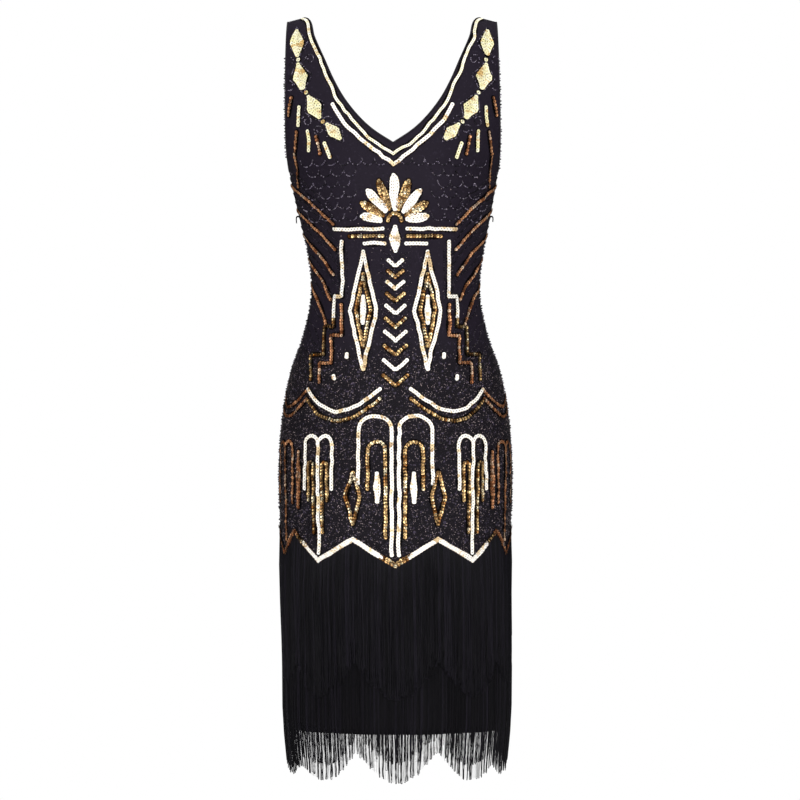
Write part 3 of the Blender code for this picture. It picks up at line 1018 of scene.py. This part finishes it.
def sew_on(add, points, trim, rotation, given):
    """A trim on every point, turned by random angles between the two tilts."""
    values = {"Min": given["least tilt"], "Max": given["most tilt"], "Seed": given["seed"]}
    spin = add("FunctionNodeRandomValue", values, data_type="FLOAT_VECTOR")
    spin = add("FunctionNodeEulerToRotation", {"Euler": spin})
    values = {"Rotation": rotation, "Rotate By": spin}
    turned = add("FunctionNodeRotateRotation", values, rotation_space="LOCAL")
    values = {"Points": points, "Instance": trim, "Rotation": turned}
    placed = add("GeometryNodeInstanceOnPoints", values)
    finish(add, shaded(add, placed, "INSTANCE", {"Seed": given["seed"]}), given)


BLACK_SEQUIN_CUP = 0.4 * MM
TRIM_INPUTS = {"Vector": ["least tilt", "most tilt"], "Int": ["seed"], "Material": ["finish"]}


def sequin_tree():
    """Cupped sequins with a thread hole, sewn overlapping along the guide chains."""
    sizes = ["pitch", "sequin radius", "hole radius", "cup depth"]
    tree, add, given = new_tree("overlapping sequins", Float=sizes, **TRIM_INPUTS)
    values = {"Vertices": 8, "Side Segments": 1, "Radius Top": given["hole radius"]}
    values.update({"Radius Bottom": given["sequin radius"], "Depth": given["cup depth"]})
    cup = add("GeometryNodeMeshCone", values, fill_type="NONE")
    # how far out from the middle and how far beside the line each point of the cup lies, by which
    # the foil paints shade
    values = {"Geometry": cup, "Name": "rim", "Value": cup.node.outputs["Bottom"]}
    cup = add("GeometryNodeStoreNamedAttribute", values, data_type="FLOAT")
    aside = add("ShaderNodeSeparateXYZ", {"Vector": add("GeometryNodeInputPosition")}, give="Y")
    aside = add("ShaderNodeMath", {0: aside}, operation="ABSOLUTE")
    share = add("ShaderNodeMath", {0: aside, 1: given["sequin radius"]}, operation="DIVIDE")
    values = {"Geometry": cup, "Name": "beside", "Value": share}
    cup = add("GeometryNodeStoreNamedAttribute", values, data_type="FLOAT")
    along = facing(add, add("GeometryNodeInputTangent"))
    sew_on(add, line_points(add, given), cup, along, given)
    return tree


def bead_tree(threaded=True):
    """Faceted seed beads, close together along the guide chains or one on each point."""
    name = "threaded beads" if threaded else "single beads"
    tree, add, given = new_tree(name, Float=["pitch", "bead radius"], **TRIM_INPUTS)
    points = line_points(add, given) if threaded else given["Geometry"]
    values = {"Segments": 5, "Rings": 3, "Radius": given["bead radius"]}
    bead = add("GeometryNodeMeshUVSphere", values)
    sew_on(add, points, bead, facing(add), given)
    return tree


def scatter_tree():
    """Small black sequins, sewn on one by one at random, close but seldom overlapping."""
    sizes = ["spacing", "density", "sequin radius"]
    tree, add, given = new_tree("scattered sequins", Float=sizes, **TRIM_INPUTS)
    cover = add("GeometryNodeInputNamedAttribute", {"Name": "sewn"}, data_type="FLOAT")
    values = {"Mesh": given["Geometry"], "Distance Min": given["spacing"], "Seed": given["seed"]}
    values.update({"Density Max": given["density"], "Density Factor": cover})
    points = add("GeometryNodeDistributePointsOnFaces", values, distribute_method="POISSON")
    values = {"Vertices": 5, "Radius Top": 0.0, "Radius Bottom": given["sequin radius"]}
    cup = add("GeometryNodeMeshCone", {**values, "Depth": BLACK_SEQUIN_CUP}, fill_type="NONE")
    values = {"Vector": points.node.outputs["Normal"]}
    up = add("FunctionNodeAlignRotationToVector", values, axis="Z")
    sew_on(add, points, cup, up, given)
    return tree


def thread_tree():
    """Round threads along the guide chains, each with its own shade."""
    inputs = {"Float": ["thread radius"], "Int": ["sides", "seed"], "Material": ["finish"]}
    tree, add, given = new_tree("threads", **inputs)
    curve = add("GeometryNodeMeshToCurve", {"Mesh": given["Geometry"]})
    number = add("GeometryNodeInputIndex")
    curve = shaded(add, curve, "CURVE", {"ID": number, "Seed": given["seed"]})
    values = {"Resolution": given["sides"], "Radius": given["thread radius"]}
    ring = add("GeometryNodeCurvePrimitiveCircle", values)
    values = {"Curve": curve, "Profile Curve": ring, "Fill Caps": True}
    solid = add("GeometryNodeCurveToMesh", values)
    finish(add, add("GeometryNodeSetShadeSmooth", {"Geometry": solid}), given)
    return tree


# ---------------- fringe, net hem, edges

# Seeds of the back's fringe, and of the fine strands, the net hem and the edge beads
BACK_FRINGE_SEED, STRAND_SEED, NET_SEED, EDGE_SEED = 100, 61, 41, 71
# Scatter and waver of the threads, in radians round the body
LOCK_SCATTER, LOOP_SCATTER, LOCK_DRIFT = 0.0055, 0.0016, 0.003
LONG_WAVER, TIP_WAVER = 0.003, 0.004
EARLY_END = (6 * MM, 34 * MM)
LAYER_STEP = 0.9 * MM
FRINGE_SIDE_MARGIN = 0.010
FRINGE_LIMIT = QUARTER_TURN - 0.004
FRINGE_DROP = 0.76
LOOSE_END_DROP = 279 * MM
STRANDS = 330
STRAND_OUT = 2.2 * MM
TAPE_HEIGHT = 7 * MM
TAPE_CLEARANCE = 0.6 * MM
GIRTH_PER_TURN = 134 * MM
# The real net is finer than this. It is drawn coarse enough to show.
NET_MESH = 2.6 * MM
NET_LEAN = 0.09
NET_WIDTH_DROP = 1020 * MM
LADDERS = (0.35, 0.5, 0.8, 1.2, 2.0)
ROLL_OUT = -0.3 * MM
ARM_BEAD_DROP = 58 * MM
ARM_BEAD_GAPS = (2.6 * MM, 5.5 * MM)
# First and last drop in millimetres, and how loosely the beads are sewn there
SEAM_BEADS = ((300, 420, 3.8), (420, 690, 2.9), (690, 860, 4.2))

# Clearance is how far a tier hangs off the cloth at the front and side is that at the seam.
# Short is the share of loops that end early. Narrow and wide limit half the width of a loop.
TIER_COUNTS = "name loops layers locks gather short seed"
TIER_SIZES = "clearance side uneven ease narrow wide thread"
Tier = namedtuple("Tier", f"{TIER_COUNTS} {TIER_SIZES}")
TIERS = [
    Tier(*counts, *(size * MM for size in sizes))
    for counts, sizes in (
        (("upper", 320, 2, 150, 0.75, 0.14, 11), (3.9, 1.8, 4.2, 0, 0.5, 1.5, 0.52)),
        (("lower", 176, 1, 98, 0.93, 0.06, 23), (1.8, 3.0, 1.8, 3, 0.3, 1.0, 0.44)),
    )
]


def even_turns(face, drop, count):
    limit = QUARTER_TURN - FRINGE_SIDE_MARGIN
    turns = np.linspace(-limit, limit, 361)
    run = run_along(cloth_point(face, turns, drop))
    return np.interp(np.linspace(0, run[-1], count), run, turns)


def scalloped(column, turn):
    """Drop of the fringe's tips, which hang in round scallops between the zigzag's peaks."""
    levels = [getattr(z, column) for z in ZIGZAG]
    number = np.clip(np.searchsorted(ZIGZAG_TURNS, np.abs(turn)) - 1, 0, len(ZIGZAG) - 2)
    share = (np.abs(turn) - np.take(ZIGZAG_TURNS, number)) / np.take(np.diff(ZIGZAG_TURNS), number)
    start, stop = np.take(levels, number), np.take(levels, number + 1)
    rounded = np.where(stop > start, np.sin(share * QUARTER_TURN), 1 - np.cos(share * QUARTER_TURN))
    return start + (stop - start) * rounded


def fringe_guides(face, tier):
    """Chains for the looped threads of one tier. Each goes down, turns at its tip and comes
    up again; they leave the tape evenly, gather into loose locks and end unevenly."""
    rng = np.random.default_rng(tier.seed + (0 if face == FRONT else BACK_FRINGE_SEED))
    fall = np.array([0.0, 0.06, 0.3, 0.6, 0.8, 0.88, 0.95, 1.0])
    still, bend = np.zeros(len(fall)), np.radians([-45.0, 0.0, 45.0])
    shares = np.concatenate([fall, [1.0] * len(bend), fall[::-1]])
    aside = np.concatenate([still - 1, np.sin(bend), still + 1])
    below = np.concatenate([still, np.cos(bend), still])
    spread = np.minimum(1, shares / 0.3)
    even_locks = even_turns(face, FRINGE_DROP, tier.locks)
    lock_turns = np.sort(even_locks + rng.normal(0, LOCK_SCATTER, tier.locks))
    lock_drift = rng.normal(0, LOCK_DRIFT, tier.locks)
    lock_length = rng.normal(0, tier.uneven, tier.locks)
    lock_pull = np.clip(rng.normal(tier.gather, 0.1, tier.locks), 0.3, 1.0)
    chains = []
    for layer in range(tier.layers):
        turns = even_turns(face, FRINGE_DROP, tier.loops)
        half_pitch = (turns[1] - turns[0]) / 4
        turns = turns + rng.normal(0, LOOP_SCATTER, tier.loops)
        near = np.abs(turns[:, None] - lock_turns[None, :]).argmin(axis=1)
        pull = (lock_turns[near] - turns) * lock_pull[near]
        lengthen = lock_length[near] + rng.normal(-1 * MM, tier.uneven, tier.loops)
        lengthen = np.minimum(lengthen, tier.uneven / 2) - tier.ease
        short = rng.random(tier.loops) < tier.short
        lengthen = lengthen - short * rng.uniform(*EARLY_END, tier.loops)
        phase = rng.uniform(0, 6.28, tier.loops)
        proud = rng.normal(0, 0.25 * MM, tier.loops) + LAYER_STEP * layer
        widths = rng.uniform(tier.narrow, tier.wide, tier.loops)
        beside = np.abs(np.sin(turns)) ** 8
        clearance = tier.clearance * (1 - beside) + tier.side * beside
        for i in range(tier.loops):
            root = float(zigzag_at(f"{tier.name}_root", turns[i])) - 1 * MM
            tip = float(scalloped(f"{tier.name}_tip", turns[i])) + lengthen[i]
            drops = root + (tip - widths[i] - root) * shares + widths[i] * below
            middle = turns[i] + pull[i] * shares**1.6 + lock_drift[near[i]] * shares**2
            middle = middle + LONG_WAVER * np.sin(phase[i] + 5 * shares) * shares
            middle = middle + TIP_WAVER * np.sin(3 * phase[i] + 38 * shares) * shares**6
            apart = half_pitch * (1 - shares) + widths[i] / GIRTH_PER_TURN * shares
            turn = np.clip(middle + aside * apart, -FRINGE_LIMIT, FRINGE_LIMIT)
            out = TAPE_CLEARANCE + 0.6 * MM + (clearance[i] - TAPE_CLEARANCE + proud[i]) * spread
            chains.append(cloth_point(face, turn, drops, out))
    return chain_mesh(chains)


def strand_guides(face):
    """Chains for the finest single strands of the lower tier, drawn only below the slip,
    where the light comes through."""
    rng = np.random.default_rng(STRAND_SEED + face)
    chains = []
    for turn in even_turns(face, NET_HEM_DROP, STRANDS):
        sway = np.clip(turn + rng.normal(0, LOCK_DRIFT, 3), -FRINGE_LIMIT, FRINGE_LIMIT)
        tip = float(scalloped("lower_tip", turn)) - 3.5 * MM - abs(rng.normal(0, 1.5 * MM))
        drops = np.linspace(SLIP_HEM_DROP - 8 * MM, tip, 3)
        chains.append(cloth_point(face, sway, drops, STRAND_OUT))
    return chain_mesh(chains)


def tape_piece(name, face, tier, material):
    """The narrow tape that a tier hangs from."""
    limit = QUARTER_TURN - FRINGE_SIDE_MARGIN
    marks = np.array(ZIGZAG_TURNS[1:-1])
    turns = np.unique(np.concatenate([np.linspace(-limit, limit, 141), marks, -marks]))
    foot = zigzag_at(f"{tier.name}_root", turns)
    out = TAPE_CLEARANCE + CLOTH_WALL
    rows = [cloth_point(face, turns, foot - TAPE_HEIGHT * share, out) for share in (1.0, 0.5, 0.0)]
    return walled(name, grid_mesh(name, np.array(rows), flip=(face == FRONT)), CLOTH_WALL, material)


def net_hem_guides(face):
    """Crossing threads of the bare net below the slip, pulled long by the fringe's weight
    and laddered here and there."""
    rng = np.random.default_rng(NET_SEED + face)
    chains = []
    fine = np.linspace(-QUARTER_TURN, QUARTER_TURN, 241)
    lengths = row_lengths(face, NET_WIDTH_DROP, fine)
    width = float(lengths[-1])
    depth = NET_HEM_DROP - NET_HEM_TOP_DROP
    shares = np.linspace(0, 1, 5)
    for lean in (-NET_LEAN, NET_LEAN):
        start = -width
        while start < width:
            along = start + lean * (shares - 0.5) * depth
            keep = np.abs(along) <= width - 0.5 * MM
            if keep.sum() > 1:
                turns = np.interp(along[keep], lengths, fine)
                drops = NET_HEM_TOP_DROP + depth * shares[keep]
                drops = np.minimum(drops, scalloped("lower_tip", turns) - 4 * MM)
                chains.append(cloth_point(face, turns, drops, -0.5 * MM))
            start += NET_MESH * rng.choice(LADDERS)
    return chain_mesh(chains)


def edge_guides(face):
    """Chains along the neckline and the armholes, for the rolled edge."""
    edges = (
        (NECK_DROP[face], lambda drops: turn_for(neckline_at(face, drops), drops)),
        (UNDERARM_DROP, arm_turn),
    )
    chains = []
    for side in SIDES:
        for end, turns_at in edges:
            shoulder = np.linspace(0.2 * MM, 8 * MM, 8)
            drops = np.concatenate([shoulder, np.linspace(10 * MM, end, 60)])
            chains.append(cloth_point(face, side * turns_at(drops), drops, ROLL_OUT))
    return chain_mesh(chains)


def edge_beads(face):
    """Places along the armholes and side seams where beads stand out past the edge."""
    rng = np.random.default_rng(EDGE_SEED + face)
    chains, normals = [], []
    for side in SIDES:
        drops = ARM_BEAD_DROP + np.cumsum(rng.uniform(*ARM_BEAD_GAPS, 38))
        drops = drops[drops < UNDERARM_DROP - 3 * MM]
        turns = side * arm_turn(drops)
        spots = cloth_point(face, turns, drops, 0.4 * MM)
        spots[:, 0] += side * rng.uniform(-0.3 * MM, 1.3 * MM, len(drops))
        chains.append(spots)
        normals.append(cloth_normal(face, turns, drops))
        for first, last, loose in SEAM_BEADS:
            drops = first * MM + np.cumsum(rng.uniform(0.9, 1.7, 200) * loose * MM)
            drops = drops[drops < last * MM]
            turns = side * (QUARTER_TURN - rng.uniform(0.0, 0.05, len(drops)))
            out = rng.uniform(-0.3 * MM, 1.2 * MM, len(drops))
            chains.append(cloth_point(face, turns, drops, out))
            normals.append(cloth_normal(face, turns, drops))
    return chain_mesh(chains, normals)


def loose_end_guides():
    """A loop of beading thread that has worked out of each side seam under the arm, with
    its end hanging down. A second strand lies along its upper part."""
    chains = []
    for side, hang in ((-1, 9), (1, 7)):
        start = cloth_point(FRONT, side * QUARTER_TURN, LOOSE_END_DROP)
        for thick, count in ((0.0, 7), (-0.9, 5)):
            out = np.array([-1.0, 1.2, 3.0, 3.9, 4.0, 3.8, 3.6]) * MM
            up = np.array([0.0, 1.0, 0.8, -1.0, -0.4 * hang, -0.7 * hang, -hang]) * MM + thick * MM
            chains.append((start + np.stack([side * out, 0 * out - 0.4 * MM, up], axis=1))[:count])
    return chain_mesh(chains)


# ---------------- making the dress

SEQUIN_OUT = 1.3 * MM
ZIGZAG_OUT = 2.4 * MM
SHADE_BACKING_OUT = 0.3 * MM
BEAD_OUT = 0.5 * MM
BLACK_SEQUIN_OUT = 0.35 * MM
HOLE_RADIUS = 0.54 * MM
MASK_DROPS = (210 * MM, 768 * MM)
MASK_SEAM_SHARE = 0.995
BODICE_SHARE = 0.03
SKIRT_SHARE_DROP, SKIRT_SHARE_REACH = 455 * MM, 40 * MM
SPINE_SHARE, SPINE_REACH, SPINE_DROP = 0.5, math.radians(9), 300 * MM
ANY_WAY = {"least tilt": (-0.5, -0.5, -3.0), "most tilt": (0.5, 0.5, 3.0)}
# a flat black disc under each sequin, wider than it: partly thread, partly a painted shade along
# the lines
SHADE_BACKING = {
    "pitch": 4.6 * MM, "sequin radius": 4.2 * MM, "hole radius": 0.2 * MM, "cup depth": 0.0,
    "least tilt": (0, 0, 0), "most tilt": (0, 0, 0), "seed": 1,
}
BEADS = {"pitch": 2.2 * MM, "bead radius": 0.9 * MM, "seed": 3, **ANY_WAY}
EDGE_BEADS = {"bead radius": 1.3 * MM, "seed": 6, **ANY_WAY}
BLACK_SEQUINS = {"spacing": 1.6 * MM, "density": 420000.0, "sequin radius": 0.7 * MM, "seed": 8}

# Radius, number of sides and seed of each kind of thread
THIN, ROLLED, LOOSE = (0.1 * MM, 3, 4), (1.0 * MM, 8, 4), (0.8 * MM, 5, 2)
FRINGE_SIDES = 3


def sewn_mask(face, design, rows=280, columns=181):
    """The part of a panel that small black sequins cover, as a light grid to scatter on.
    It stays clear of the lines of the design, and the darker bare net left round them is a painted
    shade along their edges."""
    drops = np.linspace(*MASK_DROPS, rows)
    limit = QUARTER_TURN * MASK_SEAM_SHARE
    turns = np.linspace(-limit, limit, columns)
    points = np.array([cloth_point(face, turns, drop, BLACK_SEQUIN_OUT) for drop in drops])
    border = zigzag_at("upper_root", turns) - TAPE_HEIGHT
    cover = np.zeros((rows, columns))
    for row, drop in enumerate(drops):
        close = np.clip((drop - SKIRT_SHARE_DROP) / SKIRT_SHARE_REACH, 0.0, 1.0)
        spine = SPINE_SHARE * bell(turns, SPINE_REACH) * (drop > SPINE_DROP)
        shares = np.clip(BODICE_SHARE + close + spine, 0, 1)
        cover[row] = np.where(drop < border - 1 * MM, shares, 0.0)
    # clearing round the lines leaves a dark margin of bare net, a painted shade beside them
    for _, path in design:
        for across, fall in densely(path) * MM:
            row = int(round((fall - drops[0]) / (drops[1] - drops[0])))
            column = int(round((float(turn_for(across, fall)) - turns[0]) / (turns[1] - turns[0])))
            if row > 0 and column > 0:
                cover[row - 1 : row + 2, column - 1 : column + 2] = 0
    mesh = grid_mesh("sewn", points, flip=(face == FRONT))
    mark(mesh, "sewn", cover)
    return mesh


def sewn(name, mesh, tree, values, slot="beaded_net", replaced=()):
    """A piece that a tree grows, on its body; the slot is not used."""
    piece = grown(name, mesh, tree, values)
    settle(piece, slot, *replaced)
    return piece


def thread(radius, sides, seed, material):
    return {"thread radius": radius, "sides": sides, "seed": seed, "finish": material}


def sequin_lines(word, face, design, tree, films):
    """The sequins of each foil, along the design and along the zigzag border."""
    pieces = []
    for number, (kind, foil) in enumerate(FOILS.items()):
        values = {"pitch": foil.pitch, "sequin radius": foil.radius, "hole radius": HOLE_RADIUS}
        values.update({"cup depth": foil.cup, "finish": films[kind]})
        values.update({"least tilt": foil.least_tilt, "most tilt": foil.most_tilt})
        works = (("sequins", design, SEQUIN_OUT, 5), ("zigzag", zigzag_border(), ZIGZAG_OUT, 15))
        for part, lines, out, seed in works:
            paths = [path for used, path in lines if used == kind]
            if paths:
                values["seed"] = seed + number
                guides = stitch_guides(face, paths, out)
                pieces.append(sewn(f"{word}_{kind}_{part}", guides, tree, values))
    return pieces


def make_dress():
    """Both panels with all that is sewn to them, both halves of the slip and the loose ends."""
    net, rayon, jersey, satin = beaded_net(), twisted_rayon(), slip_jersey(), edge_satin()
    # the lighter share of each glass, from dim to bright, is a painted glint
    bead_glass = black_glass("black bead glass", 0.4, 0.9, "#665d74", "#a39aa8")
    smoky_glass = black_glass("smoky bead glass", 0.6, 1.3, "#443c4e", "#6a616d")
    sequin_glass = black_glass("black sequin glass", 0.68, 0.98, "#544654", "#c2b0b0")
    # matt black thread that shows only as a dark edge, partly a painted shade along the sequin
    # lines, and the net's own, a little greyer
    backing = new_material("black backing thread", "#030203", 0.8, 0.05)[0]
    net_thread = new_material("black net thread", "#141117", 0.7, 0.15)[0]
    films = {kind: sequin_foil(foil) for kind, foil in FOILS.items()}
    sequins, scatter, threads = sequin_tree(), scatter_tree(), thread_tree()
    beads, single_beads = bead_tree(), bead_tree(threaded=False)
    for word, face in FACES.items():
        shell = panel(f"{word}_net", face, net)
        settle(shell, "beaded_net", f"{word}_panel")
        design = sewn_design(face)
        on_net = sequin_lines(word, face, design, sequins, films)
        # the sequins are threaded on a flat black chain, which shows as a dark edge; the edge is
        # partly the thread and partly a painted shade along the lines
        chain = stitch_guides(face, [path for _, path in design], SHADE_BACKING_OUT)
        glinting = stitch_guides(face, bust_ground(), BEAD_OUT)
        smoky = stitch_guides(face, smoky_ground(), BEAD_OUT)
        mask, spots, strands = sewn_mask(face, design), edge_beads(face), strand_guides(face)
        trims = (
            ("backing", chain, sequins, {**SHADE_BACKING, "finish": backing}),
            ("pearly_bead_lines", glinting, beads, {**BEADS, "finish": bead_glass}),
            ("smoky_bead_lines", smoky, beads, {**BEADS, "finish": smoky_glass}),
            ("edge_beads", spots, single_beads, {**EDGE_BEADS, "finish": bead_glass}),
            ("black_sequins", mask, scatter, {**BLACK_SEQUINS, **ANY_WAY, "finish": sequin_glass}),
            ("net_hem", net_hem_guides(face), threads, thread(*THIN, net_thread)),
            ("fine_strands", strands, threads, thread(*THIN, rayon), "rayon_fringe"),
            ("rolled_edges", edge_guides(face), threads, thread(*ROLLED, satin)),
        )
        on_net += [sewn(f"{word}_{name}", *making) for name, *making in trims]
        for tier in TIERS:
            making = (fringe_guides(face, tier), threads)
            making += (thread(tier.thread, FRINGE_SIDES, tier.seed, rayon), "rayon_fringe")
            nodes = [f"{tier.name}_fringe_{word}"]
            on_net.append(sewn(f"{word}_{tier.name}_threads", *making, nodes))
            on_net.append(tape_piece(f"{word}_{tier.name}_tape", face, tier, rayon))
            settle(on_net[-1], "rayon_fringe")
        slip = slip_piece(f"{word}_slip", face, jersey)
        settle(slip, "slip_jersey", f"slip_{word}")
    values = thread(*LOOSE, rayon)
    sewn("loose_thread_ends", loose_end_guides(), threads, values, "rayon_fringe")


# ---------------- camera and studio

CAMERA_PLACE = (0.0063, -4.2, -0.5348)
FLOOR_DROP = 1.40
FLOOR_REACH = 2.0
DRESS_MIDDLE = (0, 0, -0.5)


def place_camera():
    data = bpy.data.cameras.new("camera")
    data.lens = 135
    data.sensor_width = 36
    data.clip_end = 50
    camera = new_object("camera", data)
    camera.location = CAMERA_PLACE
    camera.rotation_euler = (QUARTER_TURN, 0, 0)
    bpy.context.scene.camera = camera


def softbox(name, place, size, power, target=DRESS_MIDDLE):
    data = bpy.data.lights.new(name, "AREA")
    data.shape = "RECTANGLE"
    data.size, data.size_y = size
    data.energy = power
    light = new_object(name, data)
    light.location = place
    light.rotation_euler = (Vector(target) - Vector(place)).to_track_quat("-Z", "Y").to_euler()


def light_studio():
    softbox("front_box", (0.2, -5.6, 0.4), (5.4, 6.4), 325)
    for number, place in enumerate(((-1.7, -4.4, 0.9), (1.3, -4.6, 0.3), (0.2, -4.5, -1.9))):
        softbox(f"small_lamp_{number}", place, (0.22, 0.22), 10)
    softbox("back_box", (-0.1, 5.6, 0.4), (0.9, 4.0), 150)
    softbox("top_box", (0, 0.2, 3.4), (3.2, 3.2), 70, target=(0, 0.2, -1))
    for side in SIDES:
        softbox(f"side_box_{side}", (4.6 * side, -3.4, 0.2), (2.4, 4.4), 55)
    world = bpy.data.worlds.new("white studio")
    bpy.context.scene.world = world
    world.use_nodes = True
    world.node_tree.nodes.clear()
    add = partial(add_node, world.node_tree)
    seen = add("ShaderNodeLightPath", give="Is Camera Ray")
    strength = add("ShaderNodeMapRange", {"Value": seen, "To Min": 0.13, "To Max": 1.0})
    glow = add("ShaderNodeBackground", {"Color": (1, 1, 1, 1), "Strength": strength})
    add("ShaderNodeOutputWorld", {"Surface": glow})
    bpy.context.scene.view_settings.view_transform = "Standard"


def lay_floor():
    reach = (-FLOOR_REACH, FLOOR_REACH)
    points = np.array([[[x, y, -FLOOR_DROP] for x in reach] for y in reach])
    floor = new_object("floor", grid_mesh("floor", points))
    floor.data.materials.append(new_material("pale floor", "#f1f0ee", 0.9)[0])


place_camera()
light_studio()
lay_floor()
make_dress()
